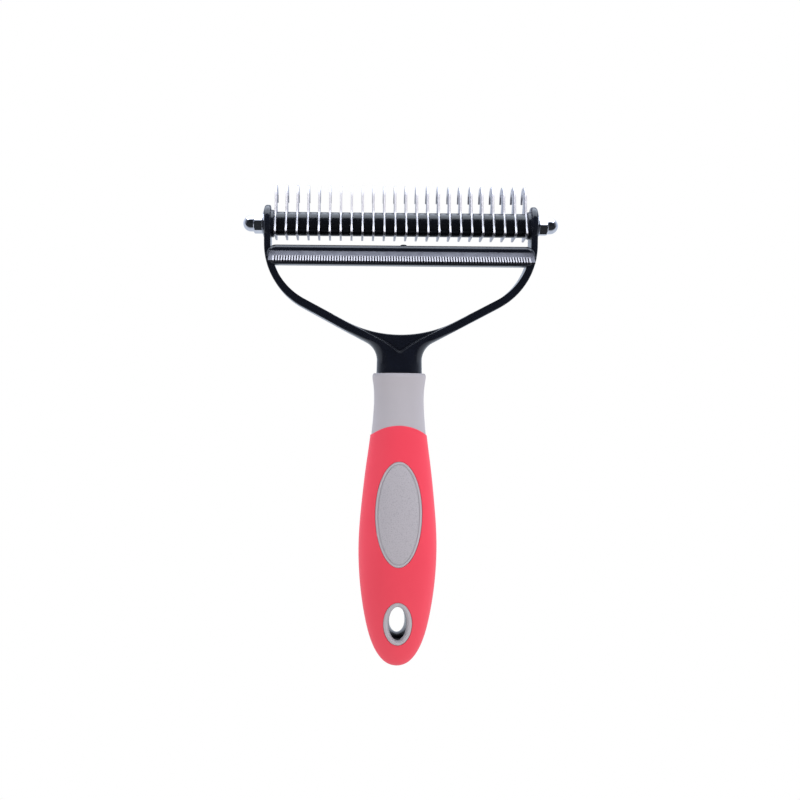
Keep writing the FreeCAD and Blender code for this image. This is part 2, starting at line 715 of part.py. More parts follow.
def make_handle(tang, hang_hole):
    """The grey sleeve shows at the collar, two oval pads and the hole's ring; red elsewhere."""
    grip = [f"grip_{name}" for name in GRIP_STATIONS]
    outer = round_form("grip_outer", grip, tip="dims.tip_drop")
    inner = round_form("sleeve_outer", grip, "dims.skin_thickness", "dims.tip_drop - dims.skin_thickness")
    groove_floor = round_form("groove_floor", grip, "dims.pad_groove_depth",
                             "dims.tip_drop - dims.pad_groove_depth")
    collar = round_form("collar_outer", [f"collar_{name}" for name in COLLAR_STATIONS])

    # the skin's upper edge is an arc seen from the front, highest in the middle
    arc = cylinder("skin_edge_arc", "dims.edge_radius", 2 * WELL_PAST, y=-WELL_PAST,
                   z=from_rod("dims.edge_drop + dims.edge_radius"), rotation=ALONG_Y)
    below = box("skin_below_arc", (4 * WELL_PAST, 2 * WELL_PAST, "dims.tip_drop"),
                (-2 * WELL_PAST, -WELL_PAST,
                 from_rod("dims.edge_drop + dims.edge_radius + dims.tip_drop")))
    skin_region = fuse("skin_region", arc, below)

    pad_bar = oval_prism("pad_bar", "dims.pad_half_width", "dims.pad_half_height", "dims.pad_drop")
    ring_bar = oval_prism("ring_bar", "dims.ring_half_width", "dims.ring_half_height", "dims.rod_height")
    windows = fuse("skin_windows", pad_bar, ring_bar)

    skin_block = common("skin_block", outer, skin_region)
    skin = cut("round_skin", skin_block, fuse("skin_cuts", inner, windows))

    groove_out = oval_prism("groove_out", "dims.pad_half_width - dims.pad_rim",
                            "dims.pad_half_height - dims.pad_rim", "dims.pad_drop")
    groove_in = oval_prism("groove_in", "dims.pad_half_width - dims.pad_rim - dims.pad_groove",
                           "dims.pad_half_height - dims.pad_rim - dims.pad_groove", "dims.pad_drop")
    groove = cut("pad_grooves", cut("groove_bar", groove_out, groove_in), groove_floor)

    neck_socket = cylinder("neck_socket", "dims.neck_half_width", f"dims.neck_seat + {PAST}",
                           z=from_rod("dims.collar_drop + dims.neck_seat"))
    collar_block = cut("collar_block", collar, skin_region)
    shown = common("sleeve_shown", outer, windows)
    sleeve = fuse("sleeve_solid", collar_block, inner, shown)
    for name, tool in (("tang", tang), ("neck", neck_socket), ("hole", hang_hole), ("grooves", groove)):
        sleeve = cut(f"sleeve_less_{name}", sleeve, tool)
    return [flatten("handle_sleeve", sleeve), flatten("grip_skin", skin)]


# ---- build, check and write -------------------------------------------------------------

def build():
    hang_hole = oval_prism("hang_hole", "dims.hole_half_width", "dims.hole_half_height", "dims.rod_height")
    tang = make_tang()
    nodes = [make_fork(tang, bar_block("bar_seat"), hang_hole), make_bar(), make_strip()]
    nodes += make_handle(tang, hang_hole)
    nodes += make_rake()
    for side in ("left", "right"):
        nodes += [make_washer(side), make_nut(side)]
    return nodes


def check(nodes):
    for thing in doc.Objects:
        bad = {"Invalid", "Error"} & set(thing.State)
        assert not bad, f"{thing.Label}: {sorted(bad)}"
    for node in nodes:
        shape = node.Shape
        assert not shape.isNull() and shape.isValid(), node.Label
        assert shape.Solids and shape.Volume > 0, node.Label


def write(nodes):
    os.makedirs("parts", exist_ok=True)
    for node in nodes:
        node.Shape.exportStep(f"parts/{node.Label}.step")


nodes = build()
doc.recompute()
check(nodes)
write(nodes)
for node in nodes:
    reach = node.Shape.BoundBox
    print(f"{node.Label}: {len(node.Shape.Solids)} solid, {node.Shape.Volume:.1f} mm3, "
          f"x {reach.XMin:.2f}..{reach.XMax:.2f} y {reach.YMin:.2f}..{reach.YMax:.2f} "
          f"z {reach.ZMin:.2f}..{reach.ZMax:.2f}")
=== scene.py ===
import math

import bmesh
import bpy
import numpy as np
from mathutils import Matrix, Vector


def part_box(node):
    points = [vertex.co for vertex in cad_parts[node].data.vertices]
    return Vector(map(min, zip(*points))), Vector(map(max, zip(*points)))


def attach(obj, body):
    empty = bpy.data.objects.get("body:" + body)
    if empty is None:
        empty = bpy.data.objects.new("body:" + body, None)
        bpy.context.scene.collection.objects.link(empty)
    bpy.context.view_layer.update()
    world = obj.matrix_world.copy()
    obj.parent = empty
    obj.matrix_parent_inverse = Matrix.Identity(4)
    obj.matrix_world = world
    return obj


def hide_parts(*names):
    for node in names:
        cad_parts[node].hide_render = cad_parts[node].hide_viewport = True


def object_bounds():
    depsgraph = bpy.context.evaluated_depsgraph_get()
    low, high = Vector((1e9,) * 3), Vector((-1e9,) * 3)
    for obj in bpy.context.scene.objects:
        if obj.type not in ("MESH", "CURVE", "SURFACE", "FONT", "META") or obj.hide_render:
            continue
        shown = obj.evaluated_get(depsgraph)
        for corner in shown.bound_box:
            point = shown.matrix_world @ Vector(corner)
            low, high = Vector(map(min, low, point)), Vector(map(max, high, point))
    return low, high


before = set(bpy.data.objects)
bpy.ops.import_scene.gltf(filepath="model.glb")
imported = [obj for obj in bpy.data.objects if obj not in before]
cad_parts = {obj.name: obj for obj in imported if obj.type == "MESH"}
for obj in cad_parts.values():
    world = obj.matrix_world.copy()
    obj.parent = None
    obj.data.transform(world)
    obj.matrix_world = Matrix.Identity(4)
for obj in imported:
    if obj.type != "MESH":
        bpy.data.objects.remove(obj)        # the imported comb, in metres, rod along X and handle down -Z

cadLow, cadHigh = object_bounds()
mm = 0.001


def span(node):
    # lowest and highest corner of a CAD node, in mm
    low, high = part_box(node)
    return np.array(low) / mm, np.array(high) / mm


rodLow, rodHigh = span("rake_rod")
rodZ = (rodLow[2] + rodHigh[2]) / 2          # rod axis above the hang hole
forkHigh = span("fork_frame")[1]
flatness = 0.78                              # depth over width of every handle section


# ---- mesh tools --------------------------------------------------------------------------

def gridFaces(rows, cols, start, ring):
    # the quads between neighbours on a grid, ring also joins the last column to the first
    i = np.arange(rows - 1)[:, None] * cols
    j = np.arange(cols if ring else cols - 1)[None, :]
    k = (j + 1) % cols
    return np.stack([i + j, i + k, i + cols + k, i + cols + j], -1).reshape(-1, 4) + start


def buildPiece(name, sheets, material, caps=(), sharp=38, marks=None):
    # sheets are (points in mm, ring) grids. Their common edges and poles are welded shut
    verts, faces, start = [], [], 0
    for points, ring in sheets:
        rows, cols = points.shape[:2]
        verts.append(points.reshape(-1, 3))
        faces.append(gridFaces(rows, cols, start, ring))
        start += rows * cols
    faces = np.concatenate(faces).tolist() + [list(cap) for cap in caps]
    mesh = bpy.data.meshes.new(name)
    mesh.from_pydata(np.concatenate(verts) * mm, [], faces)
    if marks is not None:
        layer = mesh.attributes.new("grain", "FLOAT", "POINT")
        layer.data.foreach_set("value", np.concatenate([m.ravel() for m in marks]).astype(np.float32))
    shell = bmesh.new()
    shell.from_mesh(mesh)
    bmesh.ops.remove_doubles(shell, verts=shell.verts, dist=2e-6)
    bmesh.ops.dissolve_degenerate(shell, edges=shell.edges, dist=1e-7)
    bmesh.ops.recalc_face_normals(shell, faces=shell.faces)
    shell.to_mesh(mesh)
    shell.free()
    mesh.shade_smooth()
    mesh.set_sharp_from_angle(angle=math.radians(sharp))
    mesh.materials.append(material)
    piece = bpy.data.objects.new(name, mesh)
    bpy.context.scene.collection.objects.link(piece)
    return piece


def fitPiece(piece, body, slot, *nodes):
    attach(piece, body)
    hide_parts(*nodes)


def smoothLine(stations, count, tangents=(None, None)):
    # cubic pieces through the stations, with slopes chosen so that the bend has no jumps
    p = np.array(stations, float)
    gaps = np.linalg.norm(np.diff(p, axis=0), axis=1)
    last = len(p) - 1
    system, known = np.zeros((last + 1, last + 1)), np.zeros_like(p)
    i = np.arange(1, last)
    before, after = gaps[:-1, None], gaps[1:, None]
    system[i, i - 1], system[i, i + 1] = 1 / gaps[:-1], 1 / gaps[1:]
    system[i, i] = 2 / gaps[:-1] + 2 / gaps[1:]
    known[i] = 3 * ((p[i] - p[i - 1]) / before ** 2 + (p[i + 1] - p[i]) / after ** 2)
    for row, near, gap, tangent in ((0, 1, gaps[0], tangents[0]), (last, last - 1, gaps[-1], tangents[1])):
        system[row, row], known[row] = 1, (0, 0) if tangent is None else tangent
        if tangent is None:
            system[row, row], system[row, near] = 2, 1
            known[row] = 3 * (p[max(row, near)] - p[min(row, near)]) / gap
    slopes = np.linalg.solve(system, known)
    marks = np.concatenate([[0], np.cumsum(gaps)])
    at = np.linspace(0, marks[-1], count)
    k = np.clip(np.searchsorted(marks, at, side="right") - 1, 0, last - 1)
    u, g = ((at - marks[k]) / gaps[k])[:, None], gaps[k][:, None]
    return ((1 + 2 * u) * (1 - u) ** 2 * p[k] + u * (1 - u) ** 2 * g * slopes[k]
            + u * u * (3 - 2 * u) * p[k + 1] + u * u * (u - 1) * g * slopes[k + 1])


def roundedPath(corners, radii, closed=False, gap=0.3):
    # straight runs with an arc of the given radius at each corner
    c = np.array(corners, float)
    parts = []
    for i, radius in enumerate(radii):
        if not radius:
            parts.append(c[i:i + 1])
            continue
        back, ahead = c[i - 1] - c[i], c[(i + 1) % len(c)] - c[i]
        back, ahead = back / np.linalg.norm(back), ahead / np.linalg.norm(ahead)
        half = math.acos(np.clip(back @ ahead, -1, 1)) / 2
        middle = c[i] + (back + ahead) / np.linalg.norm(back + ahead) * radius / math.sin(half)
        a, b = c[i] + back * radius / math.tan(half) - middle, c[i] + ahead * radius / math.tan(half) - middle
        turn = math.atan2(a[0] * b[1] - a[1] * b[0], a @ b)
        angle = np.linspace(0, turn, max(3, int(abs(turn) * radius / gap)))[:, None]
        parts.append(middle + a * np.cos(angle) + np.array([-a[1], a[0]]) * np.sin(angle))
    path = np.concatenate(parts)
    return np.concatenate([path, path[:1]]) if closed else path


def runLength(path):
    return np.concatenate([[0], np.cumsum(np.linalg.norm(np.diff(path, axis=0), axis=1))])


def atLength(path, wanted):
    run = runLength(path)
    return np.stack([np.interp(wanted, run, path[:, k]) for k in range(path.shape[1])], -1)


def betweenMarks(path, marks, counts):
    # points along the path, evenly spaced from each mark to the next
    run = runLength(path)
    at = [run[np.argmin(np.linalg.norm(path - np.array(m), axis=1))] for m in marks]
    wanted = [np.linspace(a, b, n, endpoint=False) for a, b, n in zip(at, at[1:], counts)]
    return atLength(path, np.concatenate(wanted + [[at[-1]]]))


def nearest(points, path):
    # distance from each point to the path, and how far along the path that place is
    run = runLength(path)
    fine = atLength(path, np.linspace(0, run[-1], 1400))
    away = np.linalg.norm(points[..., None, :] - fine, axis=-1)
    return away.min(-1), away.argmin(-1) / 1399 * run[-1]


def lathe(profile, steps=72, middleZ=rodZ):
    # a closed (x, radius) outline turned about the rod's axis
    x, radius = np.array(profile, float).T
    turn = np.arange(steps) / steps * 2 * math.pi
    return np.stack([x[:, None] + 0 * turn, radius[:, None] * np.sin(turn),
                     middleZ + radius[:, None] * np.cos(turn)], -1)


def ease(value, low, high):
    t = np.clip((value - low) / (high - low), 0, 1)
    return t * t * (3 - 2 * t)


# ---- materials ---------------------------------------------------------------------------

def linear(hexCode):
    # sRGB hex to the linear colour that a shader takes
    parts = [int(hexCode[i:i + 2], 16) / 255 for i in (1, 3, 5)]
    return [p / 12.92 if p <= 0.04045 else ((p + 0.055) / 1.055) ** 2.4 for p in parts] + [1]


def addNode(tree, kind, inputs=None, **settings):
    made = tree.nodes.new(kind)
    for name, value in settings.items():
        setattr(made, name, value)
    for name, value in (inputs or {}).items():
        if isinstance(value, bpy.types.NodeSocket):
            tree.links.new(value, made.inputs[name])
        else:
            made.inputs[name].default_value = value
    return made


def startMaterial(name, **surface):
    # a Principled shader with its constant values set on the shader itself
    material = bpy.data.materials.new(name)
    material.use_nodes = True
    tree = material.node_tree
    shader = tree.nodes["Principled BSDF"]
    for socket, value in surface.items():
        shader.inputs[socket.replace("_", " ")].default_value = value
    place = addNode(tree, "ShaderNodeTexCoord").outputs["Object"]
    return material, tree, shader, place


def link(tree, source, shader, socket):
    tree.links.new(source, shader.inputs[socket])


def mouldedAbs(name, dark, light, rough, ripple):
    # black ABS straight from a polished mould: deep gloss, very slight sink waves a few mm
    # long and a faint 0.3 mm grain, so that reflections break up a little
    material, tree, shader, place = startMaterial(name, IOR=1.53)
    waves = addNode(tree, "ShaderNodeTexNoise", {"Vector": place, "Scale": 160, "Detail": 2})
    grain = addNode(tree, "ShaderNodeTexNoise", {"Vector": place, "Scale": 3300, "Detail": 3})
    scuffs = addNode(tree, "ShaderNodeTexNoise",
                     {"Vector": place, "Scale": 700, "Detail": 6, "Roughness": 0.7})
    colour = addNode(tree, "ShaderNodeMix", {"Factor": waves.outputs["Fac"]}, data_type="RGBA")
    colour.inputs["A"].default_value, colour.inputs["B"].default_value = linear(dark), linear(light)
    link(tree, colour.outputs["Result"], shader, "Base Color")
    gloss = addNode(tree, "ShaderNodeMapRange", {"Value": scuffs.outputs["Fac"], "From Min": 0.3,
                    "From Max": 0.8, "To Min": rough * 0.8, "To Max": rough * 1.5})
    link(tree, gloss.outputs["Result"], shader, "Roughness")
    wide = addNode(tree, "ShaderNodeBump",
                   {"Height": waves.outputs["Fac"], "Strength": ripple, "Distance": 0.0004})
    fine = addNode(tree, "ShaderNodeBump", {"Height": grain.outputs["Fac"], "Strength": 0.06,
                   "Distance": 0.00006, "Normal": wide.outputs["Normal"]})
    link(tree, fine.outputs["Normal"], shader, "Normal")
    return material


def softTouch(name, base, shade, speck, roughness, sheen):
    # thermoplastic rubber moulded over the frame: satin, even colour, a 0.15 mm spark-eroded
    # grain, with small darker specks where the "grain" attribute marks the textured pads
    material, tree, shader, place = startMaterial(name, IOR=1.5, Sheen_Weight=sheen, Sheen_Roughness=0.4)
    clouds = addNode(tree, "ShaderNodeTexNoise", {"Vector": place, "Scale": 60, "Detail": 3})
    grain = addNode(tree, "ShaderNodeTexNoise", {"Vector": place, "Scale": 6500, "Detail": 2})
    specks = addNode(tree, "ShaderNodeTexNoise",
                     {"Vector": place, "Scale": 2600, "Detail": 4, "Roughness": 0.7})
    pads = addNode(tree, "ShaderNodeAttribute", attribute_name="grain")
    dots = addNode(tree, "ShaderNodeMapRange", {"Value": specks.outputs["Fac"], "From Min": 0.5,
                   "From Max": 0.72, "To Min": 0.0, "To Max": 0.75})
    share = addNode(tree, "ShaderNodeMath", {0: dots.outputs["Result"], 1: pads.outputs["Fac"]},
                    operation="MULTIPLY")
    body = addNode(tree, "ShaderNodeMix", {"Factor": clouds.outputs["Fac"]}, data_type="RGBA")
    body.inputs["A"].default_value, body.inputs["B"].default_value = linear(base), linear(shade)
    whole = addNode(tree, "ShaderNodeMix", {"Factor": share.outputs["Value"]}, data_type="RGBA")
    whole.inputs["B"].default_value = linear(speck)
    tree.links.new(body.outputs["Result"], whole.inputs["A"])
    link(tree, whole.outputs["Result"], shader, "Base Color")
    satin = addNode(tree, "ShaderNodeMapRange", {"Value": grain.outputs["Fac"], "To Min": roughness - 0.07,
                    "To Max": roughness + 0.1})
    link(tree, satin.outputs["Result"], shader, "Roughness")
    depth = addNode(tree, "ShaderNodeMapRange", {"Value": pads.outputs["Fac"], "To Min": 0.12, "To Max": 0.5})
    bump = addNode(tree, "ShaderNodeBump", {"Height": grain.outputs["Fac"], "Distance": 0.00005,
                   "Strength": depth.outputs["Result"]})
    link(tree, bump.outputs["Normal"], shader, "Normal")
    return material


def workedSteel(name, bright, dull, roughness, stretch, streak, depth):
    # steel with fine straight marks of the tool: stretch turns a 0.1 mm noise into lines
    material, tree, shader, place = startMaterial(name, Metallic=1.0)
    lines = addNode(tree, "ShaderNodeMapping", {"Vector": place, "Scale": stretch})
    marks = addNode(tree, "ShaderNodeTexNoise",
                    {"Vector": lines.outputs["Vector"], "Scale": streak, "Detail": 4})
    stains = addNode(tree, "ShaderNodeTexNoise", {"Vector": place, "Scale": 420, "Detail": 3})
    tone = addNode(tree, "ShaderNodeMath", {0: marks.outputs["Fac"], 1: stains.outputs["Fac"]},
                   operation="MULTIPLY")
    spread = addNode(tree, "ShaderNodeMapRange",
                     {"Value": tone.outputs["Value"], "From Min": 0.12, "From Max": 0.4})
    colour = addNode(tree, "ShaderNodeMix", {"Factor": spread.outputs["Result"]}, data_type="RGBA")
    colour.inputs["A"].default_value, colour.inputs["B"].default_value = linear(dull), linear(bright)
    link(tree, colour.outputs["Result"], shader, "Base Color")
    gloss = addNode(tree, "ShaderNodeMapRange", {"Value": marks.outputs["Fac"], "From Min": 0.3,
                    "From Max": 0.7, "To Min": roughness * 0.75, "To Max": roughness * 1.3})
    link(tree, gloss.outputs["Result"], shader, "Roughness")
    bump = addNode(tree, "ShaderNodeBump",
                   {"Height": marks.outputs["Fac"], "Strength": 0.35, "Distance": depth})
    link(tree, bump.outputs["Normal"], shader, "Normal")
    return material


blackAbs = mouldedAbs("black_abs_polished_mould", "#0d0f16", "#151822", 0.17, 0.12)
spacerNylon = mouldedAbs("black_nylon_spacer", "#08090d", "#0e1016", 0.22, 0.08)
greyRubber = softTouch("grey_tpe_overmould", "#aca7ac", "#b3aeb3", "#7d7a80", 0.55, 0.04)
redRubber = softTouch("coral_tpe_overmould", "#e63c50", "#eb4457", "#cf3446", 0.52, 0.08)
bladeSteel = workedSteel("stamped_stainless_polished", "#d6d3d6", "#bcbac0", 0.4, (9, 9, 1), 900, 0.00003)
stripSteel = workedSteel("ground_stainless_strip", "#6f6d72", "#58565c", 0.36, (1, 1, 9), 1100, 0.00003)
rodSteel = workedSteel("zinc_plated_rod", "#c3c5cc", "#8d9098", 0.35, (6, 1, 1), 900, 0.00004)
nickelPlate = workedSteel("bright_nickel_plate", "#f1f0f4", "#dcdce4", 0.06, (1, 1, 1), 300, 0.00001)
washerZinc = workedSteel("zinc_plated_washer", "#dfe0e6", "#b5b7c0", 0.28, (1, 1, 1), 1200, 0.00002)
print("materials made")


# ---- handle: grey sleeve and red skin ----------------------------------------------------

grip = {
    # (drop below the rod, half width) of the red skin
    "stations": [(75.0, 10.35), (84.2, 11.3), (94.3, 12.65), (108.5, 14.25), (125.0, 15.42),
                 (141.7, 14.75), (155.0, 12.75), (164.5, 10.15), (170.2, 7.15), (173.2, 4.0)],
    "tipDrop": 174.3,
    "edgeDrop": 79.3, "edgeRadius": 18.4,      # the skin's upper edge, an arc from the front
    "lip": 0.34, "wall": 1.3,
    "bandDrops": (90.5, 141.0, 168.6),         # where the windows' patches meet
    "acrossSteps": 56, "sideSteps": (64, 52),
}
padWindow = {"drop": 113.8, "halfWidth": 9.15, "halfHeight": 20.5}
ringWindow = {"drop": rodZ, "halfWidth": 5.65, "halfHeight": 8.6}
hangHole = {"halfWidth": 3.5, "halfHeight": 6.6}

gripLine = [(half, rodZ - drop) for drop, half in grip["stations"]] + [(0, rodZ - grip["tipDrop"])]
gripLine = smoothLine(gripLine, 4000, ((0.1, -0.99), (-1, 0)))
gripRun = np.gradient(gripLine, axis=0)
gripRun /= np.linalg.norm(gripRun, axis=1)[:, None]


def gripAt(z, column, table=gripLine):
    return np.interp(-z, -gripLine[:, 1], table[:, column])


def gripPoint(turn, z, sink, straight=0.0):
    # a flattened turn of the outline, moved in by sink along its normal, or straight back
    # along Y as straight goes to 1
    half = gripAt(z, 0)
    lean = np.stack([flatness * np.sin(turn), -np.cos(turn)], -1)
    size = np.linalg.norm(lean, axis=-1)
    down, out = gripAt(z, 1, gripRun), gripAt(z, 0, gripRun)
    normal = np.stack([lean[..., 0] / size * -down, lean[..., 1] / size * -down, out * flatness / size], -1)
    normal /= np.linalg.norm(normal, axis=-1)[..., None]
    normal = normal * (1 - straight)[..., None] + np.array([0, -1, 0]) * straight[..., None]
    base = np.stack([half * np.sin(turn), -flatness * half * np.cos(turn), z + 0 * turn], -1)
    return base - normal * sink[..., None]


def lipSteps():
    # how the skin ends: (share of the way to the edge, distance short of it, depth)
    lip, wall = grip["lip"], grip["wall"]
    over = np.linspace(0, math.pi / 2, 6)[1:]
    rows = [(t, lip, 0) for t in 1 - (1 - np.linspace(0, 1, 22)) ** 1.5]
    rows += [(1, lip * (1 - math.sin(a)), lip * (1 - math.cos(a))) for a in over]
    rows += [(1, 0, wall)] + [(t, 0, wall) for t in np.linspace(1, 0, 9)[1:]]
    return np.array(rows).T[..., None]


def windowPatch(zTop, zBottom, sideSteps, window):
    # from a four-sided frame of (turn, height) inwards to an oval, ring by ring
    n = grip["acrossSteps"]
    across, side = np.linspace(-1, 1, n + 1) * math.pi / 2, np.linspace(0, 1, sideSteps + 1)
    upright = np.full(sideSteps, math.pi / 2)
    turn = np.concatenate([across[:-1], upright, across[:0:-1], -upright])
    z = np.concatenate([np.full(n, zTop), (zTop + (zBottom - zTop) * side)[:-1],
                        np.full(n, zBottom), (zBottom + (zTop - zBottom) * side)[:-1]])
    middle = rodZ - window["drop"]
    angle = np.arctan2((z - middle) / window["halfHeight"], gripAt(z, 0) * np.sin(turn) / window["halfWidth"])
    share, short, sink = lipSteps()
    ovalZ = middle + (window["halfHeight"] + short) * np.sin(angle)
    ovalTurn = np.arcsin((window["halfWidth"] + short) * np.cos(angle) / gripAt(ovalZ, 0))
    turnHere, zHere = turn * (1 - share) + ovalTurn * share, z * (1 - share) + ovalZ * share
    return gripPoint(turnHere, zHere, sink + 0 * turnHere, share + 0 * turnHere), True


def edgePatch(zBottom):
    # from a level line up to the arc where the skin ends
    turn = np.linspace(-1, 1, grip["acrossSteps"] + 1) * math.pi / 2
    top = np.full(turn.shape, rodZ - grip["edgeDrop"])
    for _ in range(6):
        x = gripAt(top, 0) * np.sin(turn)
        top = rodZ - grip["edgeDrop"] - grip["edgeRadius"] + np.sqrt(grip["edgeRadius"] ** 2 - x ** 2)
    share, short, sink = lipSteps()
    z = zBottom * (1 - share) + (top - short) * share
    return gripPoint(turn + 0 * z, z, sink + 0 * z, np.zeros_like(z)), False


def tipPatch(zTop, sink):
    # rows of the outline itself, closer together towards the rounded tip
    turn = np.linspace(-1, 1, grip["acrossSteps"] + 1) * math.pi / 2
    rows = np.linspace(np.searchsorted(-gripLine[:, 1], -zTop), len(gripLine) - 1, 34).astype(int)
    z = gripLine[rows, 1].copy()
    z[0] = zTop
    z = z[:, None] + 0 * turn
    return gripPoint(turn + 0 * z, z, np.full(z.shape, sink), np.zeros_like(z)), False


def frontAndBack(sheets):
    return sheets + [(points * np.array([1, -1, 1]), ring) for points, ring in sheets]


upper, middle, lower = (rodZ - drop for drop in grip["bandDrops"])
skinSheets = [edgePatch(upper), windowPatch(upper, middle, grip["sideSteps"][0], padWindow),
              windowPatch(middle, lower, grip["sideSteps"][1], ringWindow),
              tipPatch(lower, 0.0), tipPatch(lower, grip["wall"])]
skin = buildPiece("grip_skin_coral", frontAndBack(skinSheets), redRubber, sharp=60)
fitPiece(skin, "frame", "red_soft", "grip_skin")
print("skin made")

collar = {
    # (half width, drop) from inside the mouth, over the rounded lip and down under the skin
    "outline": [(8.80, 62.2), (8.86, 60.4), (9.3, 59.1), (9.9, 58.8), (10.4, 59.35), (10.55, 60.3),
                (10.28, 62.3), (9.93, 65.4), (9.8, 69.0), (9.95, 73.4), (10.26, 77.7), (10.62, 81.4),
                (11.1, 86.0)],
    "core": 8.2,
}


def sleeveCollar():
    # a flattened turn of the collar's outline, closed by a plain core inside
    line = smoothLine([(half, rodZ - drop) for half, drop in collar["outline"]], 90)
    core = np.array([(collar["core"], line[-1, 1]), (collar["core"], line[0, 1]), line[0]])
    half, z = np.concatenate([line, core]).T[..., None]
    turn = np.arange(128) / 128 * 2 * math.pi
    return np.stack([half * np.sin(turn), -flatness * half * np.cos(turn), z + 0 * turn], -1), True


def ovalRings(window, rows, steps):
    # rings about a window's middle. Each row is half width, half height and depth under the
    # handle's surface, all straight back along Y
    halfX, halfZ, sink = np.array(rows, float).T[..., None]
    angle = np.arange(steps) / steps * 2 * math.pi
    x, z = halfX * np.cos(angle), rodZ - window["drop"] + halfZ * np.sin(angle)
    y = -flatness * np.sqrt(gripAt(z, 0) ** 2 - x ** 2) + sink
    return np.stack([x, y, z], -1), True


pad = {
    # (inset from the window, depth): wall, rounded rim, flat band, groove, textured field
    "rows": [(0.05, 1.25), (0.05, 0.42), (0.09, 0.22), (0.2, 0.1), (0.38, 0.05), (0.62, 0.05), (0.86, 0.07),
             (0.95, 0.12), (1.0, 0.34), (1.16, 0.34), (1.24, 0.16), (1.4, 0.1), (1.8, 0.08), (2.6, 0.06)],
    "grooveInset": 1.2,
}
ring = {
    # (share of the way from the window to the hole, depth): flange, rounded lip, then the wall
    "rows": [(0.025, 1.3), (0.025, 0.4), (0.05, 0.2), (0.1, 0.08), (0.18, 0.02), (0.3, 0.0), (0.44, 0.02),
             (0.53, 0.1), (0.62, 0.28), (0.72, 0.55), (0.82, 0.95), (0.9, 1.5), (0.96, 2.2), (1.0, 3.1),
             (1.0, 3.6), (0.5, 3.6), (0.025, 3.2), (0.025, 1.3)],
}


def padShell():
    halfX, halfZ = padWindow["halfWidth"], padWindow["halfHeight"]
    rows = [(halfX - inset, halfZ - inset, sink) for inset, sink in pad["rows"]]
    inset, sink = pad["rows"][-1]
    rows += [((halfX - inset) * q, (halfZ - inset) * q, sink - 0.02 * (1 - q))
             for q in np.linspace(1, 0, 26)[1:]]
    wall = pad["rows"][0]
    under = [((halfX - wall[0]) * q, (halfZ - wall[0]) * q, wall[1]) for q in np.linspace(0, 1, 5)]
    textured = np.array([halfX - row[0] > pad["grooveInset"] for row in rows + under], float)
    points, closed = ovalRings(padWindow, rows + under, 144)
    return points, closed, np.repeat(textured, 144)


def ringShell():
    share, sink = np.array(ring["rows"]).T
    halfX = ringWindow["halfWidth"] * (1 - share) + hangHole["halfWidth"] * share
    halfZ = ringWindow["halfHeight"] * (1 - share) + hangHole["halfHeight"] * share
    return ovalRings(ringWindow, np.stack([halfX, halfZ, sink], -1), 112)


padPoints, padRing, padGrain = padShell()
sleeveSheets = [sleeveCollar()] + frontAndBack([(padPoints, padRing), ringShell()])
sleeveMarks = [np.zeros(points.shape[0] * points.shape[1]) for points, _ in sleeveSheets]
sleeveMarks[1], sleeveMarks[3] = padGrain, padGrain
sleeve = buildPiece("handle_sleeve_grey", sleeveSheets, greyRubber, sharp=50, marks=sleeveMarks)
fitPiece(sleeve, "frame", "grey_soft", "handle_sleeve")
print("sleeve made")


# ---- fork: arms, web and neck, ears, crossbar and the hole's wall ------------------------

fork = {
    "depth": 5.8,                             # half depth of the arms
    # how the outline's edge is rounded, from the arms down to the neck
    "edgeDrops": [42.0, 44.6, 46.7, 48.5, 50.0, 53.4, 55.0],
    "floors": [5.05, 2.5, 0.8, 0.0, 0.0, 0.0, 0.0],
    "rises": [0.75, 3.3, 5.1, 6.0, 6.4, 6.8, 6.82],
    "reaches": [0.75, 0.9, 1.4, 3.2, 5.2, 7.8, 8.85],
    "outer": [(53.75, 0), (53.5, -25.0), (8.75, -49.0), (9.05, -62.5)],
    "outerRounds": [0, 28.0, 8.0, 0],
    "inner": [(51.3, 0), (50.75, -23.0), (0, -49.8), (-50.75, -23.0)],
    "innerRounds": [0, 25.0, 47.0, 0],
    "outerMarks": [(53.75, 0), (53.7, -8), (39.0, -33.0), (24.5, -40.9), (13.1, -46.7), (9.9, -49.7),
                   (8.87, -53.8), (9.05, -62.5)],
    "innerMarks": [(51.3, 0), (51.1, -8), (37.4, -30.0), (21.9, -38.3), (10.5, -42.5), (4.5, -43.6),
                   (0, -47.5), (0, -62.5)],
    "steps": (24, 34, 44, 44, 26, 26, 34),
    "webDepth": 1.35,
    "webLine": [(0, -50.9), (1.4, -49.95), (4.5, -47.6), (7.0, -46.1), (10.3, -44.35), (13.3, -42.85),
                (19.3, -39.8), (26.0, -36.3), (30.0, -33.0), (34.0, -25.0), (60.0, 60.0)],
    # rows close to the web's edge, in mm either side of it
    "stepRows": [-0.62, -0.45, -0.33, -0.22, -0.12, -0.03, 0.06, 0.15, 0.25, 0.35, 0.46, 0.6, 0.8],
    "tongueTop": -50.0, "tongueKnee": -55.8, "tongueEnd": -58.1,
}


def aboveWeb(points):
    # distance above the line where the sunken web meets the arms' faces
    return (points[..., 1] - np.interp(np.abs(points[..., 0]), *np.array(fork["webLine"]).T)) * 0.85


